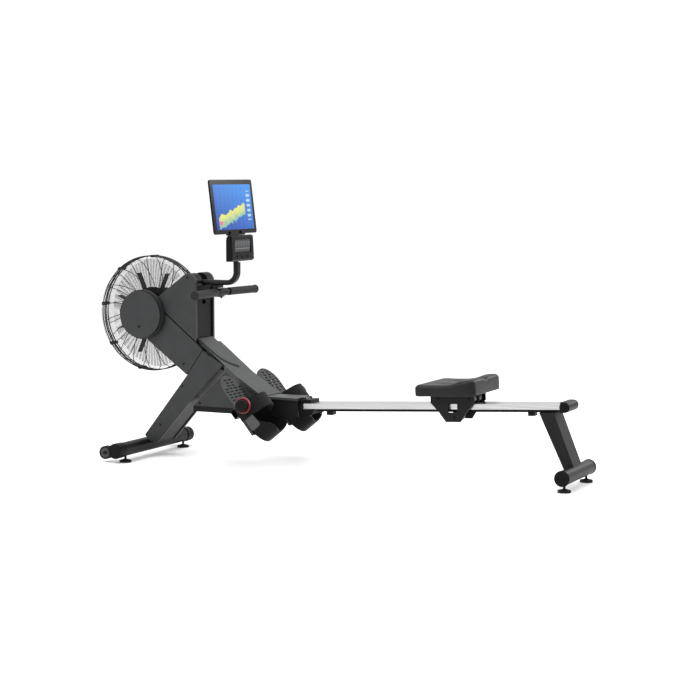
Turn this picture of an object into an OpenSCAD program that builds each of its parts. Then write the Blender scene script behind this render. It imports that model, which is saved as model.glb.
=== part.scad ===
// Air rowing machine: a fan in a wire cage, a covered steel frame, a folding rail and a rolling seat.
// X runs from the fan to the rear foot, Y across the machine, and Z up from the floor.

/* [Overall] */
// Distance from the front feet to the rear feet
wheelbase = 1942; // [1800:1:2200]
// Width over the two shell covers
shell_w = 158; // [150:1:190]
// Height of the fan axle above the floor
hub_z = 626; // [610:1:640]

/* [Base tubes] */
// Outside diameter of both cross tubes
tube_d = 60; // [50:1:70]
// Wall of the cross tubes
tube_wall = 3; // [2:0.5:5]
// Length of the front cross tube without its caps
front_tube_l = 592; // [500:1:700]
// Length of the rear cross tube without its caps
rear_tube_l = 322; // [280:1:400]
// Distance between the two front feet
front_foot_gap = 478; // [400:1:520]
// Distance between the two rear feet
rear_foot_gap = 268; // [200:1:290]
// Diameter of a foot pad
foot_d = 52; // [40:1:60]
// Diameter of a transport wheel
wheel_d = 57; // [40:1:60]

/* [Fan] */
// Radius of the wire cage
cage_r = 252; // [240:1:256]
// Radius that the fan blades reach
fan_r = 188; // [170:1:188]
// Number of fan blades
blade_n = 8; // [6:1:12]
// Radius of the round hub covers
hub_cover_r = 101; // [90:1:108]
// Diameter of the fan axle
axle_d = 12; // [10:1:16]

/* [Rail and seat] */
// Slope of the rail, rising to the rear, in degrees
rail_slope = 3.05; // [2:0.05:4]
// Width of the rail
rail_w = 100; // [80:1:110]
// Height of the rail extrusion
rail_h = 22; // [18:1:26]
// Seat width
seat_w = 314; // [260:1:340]
// Seat length along the rail
seat_l = 262; // [210:1:275]
// Diameter of a seat roller
roller_d = 38.4; // [34:0.1:42]
// Distance from the carriage centre to each upper axle
axle_reach = 67; // [55:1:72]

/* [Handle and console] */
// Length of the handle over its grips
handle_l = 524; // [440:1:560]
// Diameter of the grips
grip_d = 34; // [30:1:38]
// Backward sweep of each handle half in degrees
handle_sweep = 5; // [0:1:12]
// Console width
console_w = 184; // [150:1:200]
// Display panel width
tablet_w = 362; // [240:1:380]
// Display panel height
tablet_h = 231; // [160:1:240]

/* [Footrests] */
// Width of a footplate
foot_w = 160; // [130:1:170]
// Gap between the shell and the inner edge of a footplate
foot_gap = 5; // [3:0.5:20]
// Pitch of the footplates from level in degrees
foot_pitch = 51; // [46:1:56]
// Height of the strap over the footplate
strap_rise = 101; // [90:1:120]

/* [Hidden] */
$fn = 64;
run = 0.05;
gap = 0.3;
cover_t = 3;
skin = shell_w / 2;
plate_out = skin - 13;
plate_t = 6;
plate_in = plate_out - plate_t;
tube_r = tube_d / 2;
front_x = -12;
front_z = 54;
rear_z = 58;
wheel_x = front_x - tube_r - 3 - wheel_d / 2 - 2;
wheel_z = 42;
// The frame's origin is under the middle of the whole machine.
mid_x = (wheelbase + tube_r + 1.5 - cage_r) / 2;

// Rail frame: its origin is on the rail's top face at the front end.
rail_x = 752;
rail_z = 272;
rear_leg_x = wheelbase - 138;
rail_start = 8;
rail_end = (wheelbase - 36 - rail_x) / cos(rail_slope);
channel_h = 12;
channel_w = 62;
// The seat rests at the same share of the rail when the machine is longer or shorter.
carriage_s = 691 + 0.6 * (wheelbase - 1942);
side_plate_y = rail_w / 2 + 10;
upper_axle_n = roller_d / 2 + gap;
lower_axle_n = -rail_h - gap - channel_h - gap - roller_d / 2;
seat_base_n = roller_d + 3 * gap;
pad_n = seat_base_n + 10;
hinge_z = rail_z + 14;

handle_x = 341;
handle_z = 727;
arm_z = 768;
arm_bend_r = 47;
arm_top_x = 419;
console_x = 452;
console_z = 862;
console_h = 110;
tilt_x = 414;
tilt_z = 874;
tablet_x = 418;
tablet_z = 978;
tablet_lean = 7;

foot_x = 448;
foot_y = skin + foot_gap + foot_w / 2;
foot_z = 388;
plate_l = 292;
heel_s = 264;
cup_r = foot_w / 2 - 4;
knob_s = 172;
knob_n = 38;

spool_x = 218;
spool_z = 469;
spool_pulley_r = 46;
fan_pulley_r = 22;
belt_y = -(plate_out + 5.5);
spool_r = 26;
guide_r = 14;
guide_x = spool_x - spool_r + guide_r;
guide_z = 650;

// ---------- helpers ----------

module site() translate([-mid_x, 0, 0]) children();

// A profile drawn in X and Z, extruded from y0 to y1
module slab(points, y0, y1)
    translate([0, y1, 0]) rotate([90, 0, 0]) linear_extrude(y1 - y0) polygon(points);

module rod(x, z, r, y0, y1)
    translate([x, y0, z]) rotate([-90, 0, 0]) cylinder(h = y1 - y0, r = r);

module box(x0, x1, y0, y1, z0, z1)
    translate([x0, y0, z0]) cube([x1 - x0, y1 - y0, z1 - z0]);

module both_sides() {
    children();
    mirror([0, 1, 0]) children();
}

module on_rail() translate([rail_x, 0, rail_z]) rotate([0, -rail_slope, 0]) children();

// Footplate frame: X runs down the plate to the heel and Z stands off it towards the rower.
module on_foot(side) translate([foot_x, side * foot_y, foot_z]) rotate([0, foot_pitch, 0]) children();

module on_tablet() translate([tablet_x, 0, tablet_z]) rotate([0, -tablet_lean, 0]) children();

function arc(x, z, r, a0, a1, n) = [for (i = [0 : n]) let (a = a0 + (a1 - a0) * i / n) [x + r * cos(a), z + r * sin(a)]];

function cross2(a, b) = a[0] * b[1] - a[1] * b[0];

function unit(v) = v / norm(v);

// Moves each edge of a counter-clockwise outline inwards by d
function shrink(p, d) = [for (i = [0 : len(p) - 1])
    let (a = p[(i + len(p) - 1) % len(p)], b = p[i], c = p[(i + 1) % len(p)],
        u = unit(b - a), v = unit(c - b),
        m = [-u[1], u[0]], n = [-v[1], v[0]],
        k = cross2(u, v))
    abs(k) < 0.02 ? b + d * m : b + d * m + u * (cross2(b + d * n - b - d * m, v) / k)];

// ---------- outlines of the shell, seen from the side ----------

seam = 1.2;
arm_outline = concat(arc(0, hub_z, 98, 8, 275, 24), [[16, 516], [212, 371], [292, 482], [262, 509]]);
upper_outline = concat([[262, 514]], arc(224, 770, 38, 0, 115, 8), arc(0, hub_z, 101, 48, 9.5, 6));
leg_outline = [[-3, 98], [22, 74], [61, 66], [205, 229], [392, 421], [293, 480], [213, 369]];
gusset_outline = [[240, 238], [440, 238], [500, 277], [540, 302], [540, 311.5], [456, 356.5], [400, 391.5]];

module tray(outline, s) {
    difference() {
        slab(shrink(outline, seam / 2), s > 0 ? plate_out + 1 : -skin, s > 0 ? skin : -plate_out - 1);
        slab(shrink(outline, seam / 2 + cover_t), s > 0 ? plate_out : -skin + cover_t,
            s > 0 ? skin - cover_t : -plate_out);
    }
}

// ---------- frame ----------

module tube_bore(x, z, l) rod(x, z, tube_r - tube_wall, -l / 2 - 1, l / 2 + 1);

module side_plate() {
    arm = concat(arc(0, hub_z, 52, 60, 235, 12), [[205, 382], [262, 380], [385, 412], [286, 474], [250, 498],
        [250, 744], [215, 744], [150, 690]]);
    slab(arm, plate_in, plate_out);
}

module leg_box() {
    outer = shrink(leg_outline, 5);
    difference() {
        slab(outer, -plate_out, plate_out);
        slab(concat([[12, 40], [70, 40]], [for (i = [2 : 6]) shrink(leg_outline, 9)[i]], [shrink(leg_outline, 9)[0]]),
            -plate_out + 4, plate_out - 4);
        rod(front_x, front_z, tube_r + gap / 2, -skin, skin);
        rod(0, hub_z, cage_r + 6, -plate_in, plate_in);
        rod(spool_x, spool_z, 52, -plate_in, plate_in);
        slab([[205, 440], [262, 500], [330, 470], [235, 360]], -plate_in, plate_in);
        // the spine cover lies over this part of the box
        slab([[262, 560], [262, 490], [296, 457], [392, 390], [430, 366], [430, 560]], -skin, skin);
    }
}

module neck_walls() {
    wall = [[392, 236], [446, 196], [560, 190], [650, 196], [736, 216], [736, 283.5], [584, 283.5], [456, 352], [392, 392]];
    both_sides() slab(wall, 44, 50);
    slab([[392, 392], [392, 384], [454, 344], [582, 277], [736, 277], [736, 283.5], [584, 283.5], [456, 352]], -50, 50);
    slab([[286, 456], [380, 392], [392, 384], [392, 392], [292, 464]], -50, 50);
}

module brace() {
    difference() {
        box(226, 440, -46, 46, 210, 236);
        box(236, 441, -42, 42, 214, 232);
        box(392, 441, -44, 44, 200, 240);
    }
}

// A cross tube under the footplates, through both neck walls
module foot_bar() {
    both_sides() on_foot(1) difference() {
        box(150, 190, 45 - foot_y, foot_w / 2 - 14, -42, -12.3);
        box(154, 186, 46 - foot_y, foot_w / 2 - 13, -38, -16);
    }
}

module main_frame() color("#2b2c2e") site() {
    difference() {
        union() {
            both_sides() side_plate();
            leg_box();
            neck_walls();
            brace();
            foot_bar();
            box(247, 251, -plate_in, plate_in, 514, 630);
            slab([[196, 738], [251, 738], [251, 744], [196, 744]], -plate_in, plate_in);
        }
        rod(0, hub_z, axle_d / 2 + run, -skin, skin);
        rod(spool_x, spool_z, 6 + run, -skin, skin);
        rod(guide_x, guide_z, 4 + run, -skin, skin);
    }
}

module front_tube() color("#2b2c2e") site() difference() {
    rod(front_x, front_z, tube_r, -front_tube_l / 2, front_tube_l / 2);
    tube_bore(front_x, front_z, front_tube_l);
    both_sides() translate([0, front_foot_gap / 2, 0]) cylinder(h = front_z, r = 5 + run);
}

module front_cap() {
    y1 = front_tube_l / 2 + 6;
    difference() {
        union() {
            rod(front_x, front_z, tube_r + 3, y1 - 46, y1);
            slab([[front_x, front_z - 20], [front_x, front_z + 26], [wheel_x - 5, wheel_z + 12],
                [wheel_x - 12, wheel_z], [wheel_x - 5, wheel_z - 12]], y1 - 52, y1 - 46);
        }
        rod(front_x, front_z, tube_r + gap / 2, y1 - 60, y1 - 5);
        rod(wheel_x, wheel_z, 4 + run, y1 - 60, y1);
    }
}

module front_caps() color("#17181a") site() both_sides() front_cap();

module wheel_bolts() color("#8d9094") site() both_sides() {
    y1 = front_tube_l / 2 + 6;
    rod(wheel_x, wheel_z, 4, y1 - 58, y1 - 18);
    rod(wheel_x, wheel_z, 8, y1 - 18, y1 - 13);
    rod(wheel_x, wheel_z, 7, y1 - 58, y1 - 52.1);
}

module transport_wheel() {
    y1 = front_tube_l / 2 + 6;
    difference() {
        rod(wheel_x, wheel_z, wheel_d / 2, y1 - 45, y1 - 19);
        rod(wheel_x, wheel_z, wheel_d / 2 - 7, y1 - 22, y1 - 18);
        rod(wheel_x, wheel_z, 4 + run, y1 - 60, y1);
    }
}

module transport_wheel_right() color("#1b1c1e") site() transport_wheel();

module transport_wheel_left() color("#1b1c1e") site() mirror([0, 1, 0]) transport_wheel();

module foot_pad(x, y, top) {
    translate([x, y, 0]) cylinder(h = 9, r = foot_d / 2);
    translate([x, y, 9]) cylinder(h = 5, r1 = foot_d / 2 - 3, r2 = 9, $fn = 48);
    translate([x, y, 8]) cylinder(h = top - 8, r = 5);
}

module front_foot_left() color("#151617") site() foot_pad(0, -front_foot_gap / 2, front_z);

module front_foot_right() color("#151617") site() foot_pad(0, front_foot_gap / 2, front_z);

module rear_foot_left() color("#151617") site() foot_pad(wheelbase, -rear_foot_gap / 2, rear_z);

module rear_foot_right() color("#151617") site() foot_pad(wheelbase, rear_foot_gap / 2, rear_z);

// ---------- covers ----------

module leg_covers() color("#3a3b3d") site() {
    tray(leg_outline, -1);
    tray(leg_outline, 1);
}

module arm_covers() color("#3a3b3d") site() difference() {
    union() {
        tray(arm_outline, -1);
        tray(arm_outline, 1);
    }
    rod(0, hub_z, 40, -skin - 1, skin + 1);
}

module upper_covers() color("#434447") site() {
    tray(upper_outline, -1);
    tray(upper_outline, 1);
}

module gusset_covers() color("#3a3b3d") site() both_sides() difference() {
    slab(gusset_outline, 56.3, 70);
    slab(shrink(gusset_outline, cover_t), 56, 67);
}

module hub_cover() {
    difference() {
        union() {
            rod(0, hub_z, hub_cover_r + 6, skin + gap, skin + 19);
            rod(0, hub_z, hub_cover_r, skin + 19, skin + 35);
        }
        rod(0, hub_z, hub_cover_r - 3, skin, skin + 32);
    }
    difference() {
        rod(0, hub_z, 39, skin - 3, skin + 32);
        rod(0, hub_z, 35, skin - 4, skin + 33);
    }
}

module hub_covers() color("#37383a") site() both_sides() hub_cover();

module upright_cover() color("#1d1e20") site() difference() {
    box(251.3, 255, -plate_out, plate_out, 522, 744);
    box(250, 257, -15, 15, 674, 706);
}

module top_cap() color("#2f3033") site() difference() {
    union() {
        both_sides() rod(224, 770, 37.4, 23, plate_out);
        box(190, 258, -plate_out, plate_out, 744.3, 754);
    }
    rod(224, 770, 33, 27, plate_out - 4);
    rod(224, 770, 33, -plate_out + 4, -27);
    box(150, 300, -skin, skin, 700, 744.3);
}

module spine_cover() color("#4a4b4e") site() {
    difference() {
        slab([[262, 500], [262, 529], [326, 480], [451, 381], [583, 297], [583, 290], [456, 358],
            [394, 397], [300, 462], [296, 484]], -skin + gap, skin - gap);
        both_sides() slab([[255, 500], [255, 540], [262, 531], [330, 474], [400, 419], [380, 392]], 60, skin);
        slab([[255, 480], [255, 540], [262, 515], [296, 487], [400, 419], [396, 380], [300, 440]], -skin, -56);
        slab([[255, 480], [255, 540], [262, 515], [296, 487], [400, 419], [396, 380], [300, 440]], 56, skin);
    }
}

module neck_plate() color("#5a5b5e") site() difference() {
    union() {
        box(585, 736, -56, 56, 284, 294);
        rod(rail_x, hinge_z, 9, -19.5, 19.5);
        box(730, rail_x, -19.5, 19.5, 284, 294);
    }
    rod(rail_x, hinge_z, 5 + run, -30, 30);
}

// A bent wire of the cage in the plane of the axle, as an outline in radius and depth
wire = 3.2;
cage_depth = 50;
function wire_outline(w) = [[96, cage_depth - w], [226, cage_depth - w - 6], [cage_r - w - 4, 22],
    [cage_r - w, 22], [cage_r, 24], [232, cage_depth - 4], [226, cage_depth - 2], [96, cage_depth + 2]];

module cage_half() {
    intersection() {
        union() {
            for (i = [0 : 23])
                translate([0, 0, hub_z]) rotate([0, i * 15, 0]) translate([0, 0, -wire / 2])
                    linear_extrude(wire) polygon(wire_outline(wire));
            translate([0, 0, hub_z]) rotate([-90, 0, 0]) {
                translate([0, 0, 19]) cage_ring(cage_r - 5, cage_r, 5);
                translate([0, 0, cage_depth - 4]) cage_ring(92, 100, 5);
                translate([0, 0, cage_depth - 5.5]) cage_ring(166, 170, 4);
            }
        }
        cage_window();
    }
}

module cage_ring(r0, r1, h) difference() {
    cylinder(h = h, r = r1);
    translate([0, 0, -1]) cylinder(h = h + 2, r = r0);
}

// The part of the cage that stands outside the covers
module cage_window() {
    difference() {
        box(-cage_r - 5, cage_r, 0, 60, 300, 900);
        slab([[60, 692], [178, 802], [300, 850], [300, 300], [153, 410], [20, 508], [60, 600]], -1, 61);
    }
}

module cage_halves() color("#1b1c1e") site() both_sides() cage_half();

// ---------- fan and drive ----------

module fan_axle() color("#9a9da1") site() {
    rod(0, hub_z, axle_d / 2, -skin - 8, skin + 8);
    both_sides() rod(0, hub_z, 11, plate_in - 5, plate_in - 0.1);
    rod(0, hub_z, 11, plate_out + 0.1, plate_out + 8);
}

module fan_wheel() color("#141516") site() difference() {
    union() {
        rod(0, hub_z, 114, -2, 2);
        rod(0, hub_z, 26, -24, 24);
        for (i = [0 : blade_n - 1])
            translate([0, 0, hub_z]) rotate([0, (i + 0.5) * 360 / blade_n, 0])
                box(88, fan_r, -17, 17, -1.5, 1.5);
    }
    rod(0, hub_z, 16 + run, -25, 25);
}

module fan_bearings() color("#8d9094") site() both_sides() difference() {
    rod(0, hub_z, 16, 12, 24);
    rod(0, hub_z, axle_d / 2 + run, 10, 26);
}

module clutch_pulley() color("#6c6e72") site() difference() {
    union() {
        rod(0, hub_z, fan_pulley_r, belt_y - 4, belt_y + 4);
        rod(0, hub_z, fan_pulley_r + 3, belt_y + 4, belt_y + 5);
    }
    rod(0, hub_z, axle_d / 2 + run, belt_y - 6, belt_y + 6);
}

// Outline of a belt round two pulleys, at a distance d outside their rims
function belt_loop(d) = let (dx = spool_x, dz = spool_z - hub_z, l = norm([dx, dz]), a = atan2(dz, dx),
        b = acos((spool_pulley_r - fan_pulley_r) / l))
    concat(arc(0, hub_z, fan_pulley_r + d, a + 180 - b, a + 180 + b, 24),
        arc(spool_x, spool_z, spool_pulley_r + d, a + b - 180, a - b + 180, 32));

module drive_belt() color("#101011") site() difference() {
    slab(belt_loop(2.2), belt_y - 3, belt_y + 3);
    slab(belt_loop(gap), belt_y - 4, belt_y + 4);
}

module strap_spool() color("#4d4f53") site() {
    rod(spool_x, spool_z, 6, belt_y - 4, plate_out + 3);
    rod(spool_x, spool_z, spool_pulley_r, belt_y - 3.6, belt_y + 4);
    rod(spool_x, spool_z, spool_r, -15, 15);
    both_sides() rod(spool_x, spool_z, 42, 15, 18);
    rod(spool_x, spool_z, 45, 24, 50);
}

module guide_roller() color("#55575b") site() difference() {
    union() {
        rod(guide_x, guide_z, guide_r, -15, 15);
        both_sides() rod(guide_x, guide_z, guide_r + 2, 15, 18);
    }
    rod(guide_x, guide_z, 4 + run, -20, 20);
}

module pivot_pins() color("#8d9094") site() {
    rod(guide_x, guide_z, 4, -plate_out - 2, plate_out + 2);
    rod(rail_x, hinge_z, 5, -40, 40);
    rod(rail_x, hinge_z, 8, 36.2, 40);
    rod(rail_x, hinge_z, 8, -40, -36.2);
}

// ---------- handle ----------

module pull_strap() color("#141415") site() {
    top = guide_z + guide_r + gap;
    left = guide_x - guide_r - gap;
    outer = arc(guide_x, guide_z, guide_r + gap + 1.6, 180, 90, 8);
    inner = arc(guide_x, guide_z, guide_r + gap, 90, 180, 8);
    slab(concat([[left - 1.6, spool_z + 6]], outer, [[handle_x - 22, handle_z + 1], [handle_x - 22, handle_z - 0.6]],
        inner, [[left, spool_z + 6]]), -11, 11);
}

module handle_half() {
    rotate([0, 0, -handle_sweep]) translate([0, 14, 0]) rotate([-90, 0, 0]) children();
}

module handle_bar() color("#26272a") site() translate([handle_x, 0, handle_z]) {
    rotate([-90, 0, 0]) translate([0, 0, -16]) cylinder(h = 32, r = 12.5);
    both_sides() handle_half() cylinder(h = handle_l / 2 - 20, r = 12.5);
}

module handle_grips() color("#18191a") site() translate([handle_x, 0, handle_z]) both_sides() handle_half() {
    difference() {
        union() {
            translate([0, 0, 40]) cylinder(h = handle_l / 2 - 57, r = grip_d / 2);
            translate([0, 0, handle_l / 2 - 17]) cylinder(h = 3, r = grip_d / 2 + 1.5);
        }
        translate([0, 0, 39]) cylinder(h = handle_l / 2 - 59, r = 12.5 + run);
    }
}

module handle_clamp() color("#202123") site() difference() {
    union() {
        rod(handle_x, handle_z, 17, -34, 34);
        box(handle_x - 24, handle_x, -13, 13, handle_z - 5, handle_z + 5);
    }
    translate([handle_x, 0, handle_z]) {
        rotate([-90, 0, 0]) translate([0, 0, -16.2]) cylinder(h = 32.4, r = 12.5 + run);
        both_sides() handle_half() cylinder(h = 40, r = 12.5 + run);
    }
    box(handle_x - 25, handle_x - 21, -11.3, 11.3, handle_z - 2.5, handle_z + 3);
}

// ---------- console ----------

module oval(w, h) {
    square([h, w - h], center = true);
    for (s = [-1, 1]) translate([0, s * (w - h) / 2]) circle(d = h);
}

module arm_section() difference() {
    oval(40, 22);
    oval(35, 17);
}

module console_arm() color("#2a2b2d") site() {
    start_x = 196;
    bend_x = arm_top_x - arm_bend_r;
    translate([start_x, 0, arm_z]) rotate([0, 90, 0]) linear_extrude(bend_x - start_x) arm_section();
    translate([bend_x, 0, arm_z + arm_bend_r]) rotate([90, 0, 0]) rotate([0, 0, -90])
        rotate_extrude(angle = 90) translate([arm_bend_r, 0]) arm_section();
    translate([arm_top_x, 0, arm_z + arm_bend_r]) linear_extrude(856 - arm_z - arm_bend_r) arm_section();
    box(tilt_x - 9, tilt_x + 9, -8, 8, 856, tilt_z);
    rod(tilt_x, tilt_z, 9, -8, 8);
    rod(tilt_x, tilt_z, 4, -24, 24);
    difference() {
        union() {
            box(314, 340, -20, 20, handle_z + 18, arm_z - 11);
            box(310, 315, -20, 20, handle_z - 19, arm_z - 11);
            box(310, 346, -20, 20, handle_z - 20.5, handle_z - 17.4);
        }
        box(300, 320, -14, 14, handle_z - 12, handle_z + 8);
    }
    translate([handle_x + 1, 0, handle_z - 22.5]) sphere(r = 5);
}

module console_outline() polygon([[424, console_z + 6], [console_x - 8, console_z], [console_x, console_z + 8],
    [console_x - 5, console_z + console_h - 6], [console_x - 11, console_z + console_h],
    [428, console_z + console_h], [420, console_z + console_h - 10]]);

module console_body() color("#2c2d30") site() difference() {
    union() {
        translate([0, console_w / 2, 0]) rotate([90, 0, 0]) linear_extrude(console_w) console_outline();
        box(398, 424, -56, 56, console_z - 2, console_z + 92);
    }
    box(console_x - 9, console_x + 2, -71, 71, console_z + 37, console_z + 96);
    for (y = [-42, 0, 42]) box(console_x - 9, console_x + 2, y - 12.3, y + 12.3, console_z + 12.7, console_z + 25.3);
    box(tilt_x - 15, tilt_x + 15, -8 - gap, 8 + gap, console_z - 4, tilt_z + 10);
    rod(tilt_x, tilt_z, 4 + run, -24.5, 24.5);
}

module console_screen() color("#0b0c0d") site()
    box(console_x - 8.7, console_x - 6, -70.5, 70.5, console_z + 37.5, console_z + 95.5);

module button(y) color("#56595d") site() box(console_x - 7, console_x + 1, y - 12, y + 12, console_z + 13, console_z + 25);

module button_left() button(-42);

module button_middle() button(0);

module button_right() button(42);

module rounded_plate(w, h, r) {
    translate([-w / 2 + r, 0]) square([w - 2 * r, h]);
    translate([-w / 2, r]) square([w, h - 2 * r]);
    for (x = [-1, 1], y = [r, h - r]) translate([x * (w / 2 - r), y]) circle(r = r);
}

module tablet() color("#0e0f12") site() on_tablet()
    translate([-8, 0, 0]) rotate([90, 0, 90]) linear_extrude(8) rounded_plate(tablet_w, tablet_h, 12);

module tablet_holder() color("#232426") site() on_tablet() {
    box(-15, -8.2, -64, 64, -5, 130);
    box(-15, -8.2, -30, 30, -22, 0);
    box(-15, 6, -64, 64, -6, -0.2);
    for (y = [-46, 46]) box(0.4, 6, y - 11, y + 11, -6, 11);
}

// ---------- footrests ----------

module footplate() difference() {
    translate([0, 0, -12]) linear_extrude(10) {
        translate([foot_w / 2, 0]) circle(r = foot_w / 2);
        translate([foot_w / 2, -foot_w / 2]) square([plate_l - foot_w / 2, foot_w]);
    }
    for (i = [0 : 7], j = [-1.5 : 1.5]) if (abs(j) < 1 || i > 2)
        box(20 + i * 14, 26 + i * 14, j * 36 - 13 + (i % 2) * 6, j * 36 + 11 + (i % 2) * 6, -13, -1);
}

module footplates() color("#38393b") site() for (side = [-1, 1]) on_foot(side) footplate();

module cup_plan(r, tail) {
    circle(r = r);
    translate([-tail, -r]) square([tail, 2 * r]);
}

// A round-backed heel wall on a thin sole, its rim rising to the back of the heel
module heel_cup(side) color("#303133") site() on_foot(side) difference() {
    translate([heel_s, 0, -1.7]) linear_extrude(150) cup_plan(cup_r, 66);
    translate([heel_s, 0, 2.5]) linear_extrude(160) cup_plan(cup_r - 5, 90);
    translate([0, foot_w, 0]) rotate([90, 0, 0]) linear_extrude(2 * foot_w)
        polygon([[heel_s - 100, 42], [heel_s - 14, 42], [heel_s + 6, 58], [heel_s + 28, 82], [heel_s + 47, 90],
            [heel_s + 62, 84], [heel_s + 74, 68], [heel_s + 90, 62],
            [heel_s + 90, 260], [heel_s - 100, 260]]);
}

module heel_cup_left() heel_cup(-1);

module heel_cup_right() heel_cup(1);

module strap_arch(w, h) intersection() {
    union() {
        translate([0, h - w / 2]) circle(r = w / 2);
        translate([-w / 2, 0]) square([w, h - w / 2]);
    }
    translate([-w, 0]) square([2 * w, h + 1]);
}

module foot_straps() color("#101112") site() both_sides() on_foot(1) difference() {
    translate([160, 0, -11]) rotate([90, 0, 90]) linear_extrude(62) difference() {
        strap_arch(foot_w + 2 * gap + 7, strap_rise + 14);
        translate([0, -1]) strap_arch(foot_w + 2 * gap, strap_rise + 11.5);
    }
    rod(knob_s, knob_n, 4 + run, 0, foot_w);
}

// The tightening knob on the outer side of a foot strap
module strap_knob() on_foot(1) {
    y0 = foot_w / 2 + gap + 3.5;
    rod(knob_s, knob_n, 4, y0 - 3.5, y0 + 3);
    rod(knob_s, knob_n, 34, y0 + gap, y0 + 9);
    rod(knob_s, knob_n, 25, y0 + 9, y0 + 26);
}

module strap_knob_right() color("#8e1f2a") site() strap_knob();

module strap_knob_left() color("#8e1f2a") site() mirror([0, 1, 0]) strap_knob();

// ---------- rail ----------

module rail() color("#c9ccd0") site() on_rail() difference() {
    box(rail_start, rail_end, -rail_w / 2, rail_w / 2, -rail_h, 0);
    box(rail_start - 1, rail_end + 1, -rail_w / 2 + 3, rail_w / 2 - 3, -rail_h + 3, -3);
    both_sides() box(rail_start - 1, rail_end + 1, rail_w / 2 - 13, rail_w / 2 - 11, -1, 1);
}

module rail_channel() color("#1c1d1f") site() on_rail() {
    difference() {
        box(64, rail_end - 14, -channel_w / 2, channel_w / 2, -rail_h - gap - channel_h, -rail_h - 0.1);
        box(63, rail_end - 13, -channel_w / 2 + 3, channel_w / 2 - 3, -rail_h - gap - channel_h + 3, -rail_h);
    }
    for (s = [100, rail_end - 162])
        box(s, s + 28, -16, 16, -rail_h - gap - channel_h - 17, -rail_h - gap - channel_h);
}

socket_outline = [[-4, 1], [-4, -54], [34, -54], [52, -44], [60, -30], [60, -24], [7, -24], [7, 1]];

module rail_socket() color("#1a1b1d") site() difference() {
    on_rail() union() {
        both_sides() slab([for (i = [7 : -1 : 0]) socket_outline[i]], rail_w / 2 + 0.2, rail_w / 2 + 6);
        box(-4, 50, -rail_w / 2 - 6, rail_w / 2 + 6, -44, -rail_h - 0.2);
        box(-4, rail_start - gap, -rail_w / 2 - 6, rail_w / 2 + 6, -44, 1);
        both_sides() box(-9, rail_start - gap, 20, 36, -30, 24);
        both_sides() box(rail_start - 1, 14, 20, 36, gap, 15);
        box(13, 40, -40, 40, gap, 15);
    }
    both_sides() rod(rail_x, hinge_z, 5 + run, 10, 44);
}

module rail_end_cap() color("#161719") site() on_rail() difference() {
    union() {
        box(rail_end - 12, rail_end + 5, -rail_w / 2 - 6, rail_w / 2 + 6, -34, 8);
        rod(rail_end + 5, -13, 21, -rail_w / 2 - 6, rail_w / 2 + 6);
    }
    box(rail_end - 30, rail_end + gap, -rail_w / 2 - 0.2, rail_w / 2 + 0.2, -50, 0.2);
}

function rail_under(x) = rail_z + (x - rail_x) * tan(rail_slope) - (rail_h + gap + channel_h) / cos(rail_slope);

module rear_support() color("#2b2c2e") site() difference() {
    union() {
        slab([[rear_leg_x, rail_under(rear_leg_x)], [rear_leg_x + 62, rail_under(rear_leg_x + 62)],
            [wheelbase + 12, rear_z + 20], [wheelbase - 28, rear_z + 6]], -48, 48);
        rod(wheelbase, rear_z, tube_r, -rear_tube_l / 2, rear_tube_l / 2);
    }
    slab([[rear_leg_x + 8, rail_under(rear_leg_x + 8) - 6], [rear_leg_x + 54, rail_under(rear_leg_x + 54) - 6],
        [wheelbase + 4, rear_z + 24], [wheelbase - 20, rear_z + 12]], -44, 44);
    tube_bore(wheelbase, rear_z, rear_tube_l);
    both_sides() translate([wheelbase, rear_foot_gap / 2, 0]) cylinder(h = rear_z, r = 5 + run);
}

module rear_cap() difference() {
    union() {
        rod(wheelbase, rear_z, tube_r + 1.5, rear_tube_l / 2, rear_tube_l / 2 + 5);
        rod(wheelbase, rear_z, tube_r - tube_wall - 0.1, rear_tube_l / 2 - 14, rear_tube_l / 2);
    }
    rod(wheelbase, rear_z, tube_r - tube_wall - 4, rear_tube_l / 2 - 15, rear_tube_l / 2 + 1);
}

module rear_caps() color("#161719") site() both_sides() rear_cap();

// ---------- seat ----------

module on_carriage() on_rail() translate([carriage_s, 0, 0]) children();

// The pad's height over its length, low at the front and raised behind
pad_profile = [[-seat_l / 2, -9], [seat_l / 2, -9], [seat_l / 2, 54], [seat_l / 2 - 22, 58], [seat_l / 2 - 62, 54],
    [seat_l / 2 - 90, 44], [seat_l / 2 - 130, 38], [-seat_l / 2 + 60, 36], [-seat_l / 2 + 20, 38], [-seat_l / 2, 36]];

module seat_pad() color("#2a2b2d") site() on_carriage() difference() {
    translate([-1, 0, pad_n + gap]) intersection() {
        slab(pad_profile, -seat_w / 2, seat_w / 2);
        translate([0, 0, -10]) linear_extrude(70) {
            square([seat_l - 60, seat_w], center = true);
            square([seat_l, seat_w - 60], center = true);
            for (x = [-1, 1], y = [-1, 1]) translate([x * (seat_l / 2 - 30), y * (seat_w / 2 - 30)]) circle(r = 30);
        }
    }
    box(-100 - gap, 108 + gap, -118 - gap, 118 + gap, seat_base_n, pad_n + gap);
}

module seat_base() color("#1f2022") site() on_carriage() {
    box(-92, 92, -side_plate_y - 2, side_plate_y + 2, seat_base_n, seat_base_n + 4);
    box(-100, 108, -118, 118, seat_base_n + 4, pad_n);
}

carriage_outline = [[-95, seat_base_n], [-95, 6], [-62, -30], [-32, lower_axle_n - 18], [32, lower_axle_n - 18],
    [62, -30], [95, 6], [95, seat_base_n]];

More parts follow.
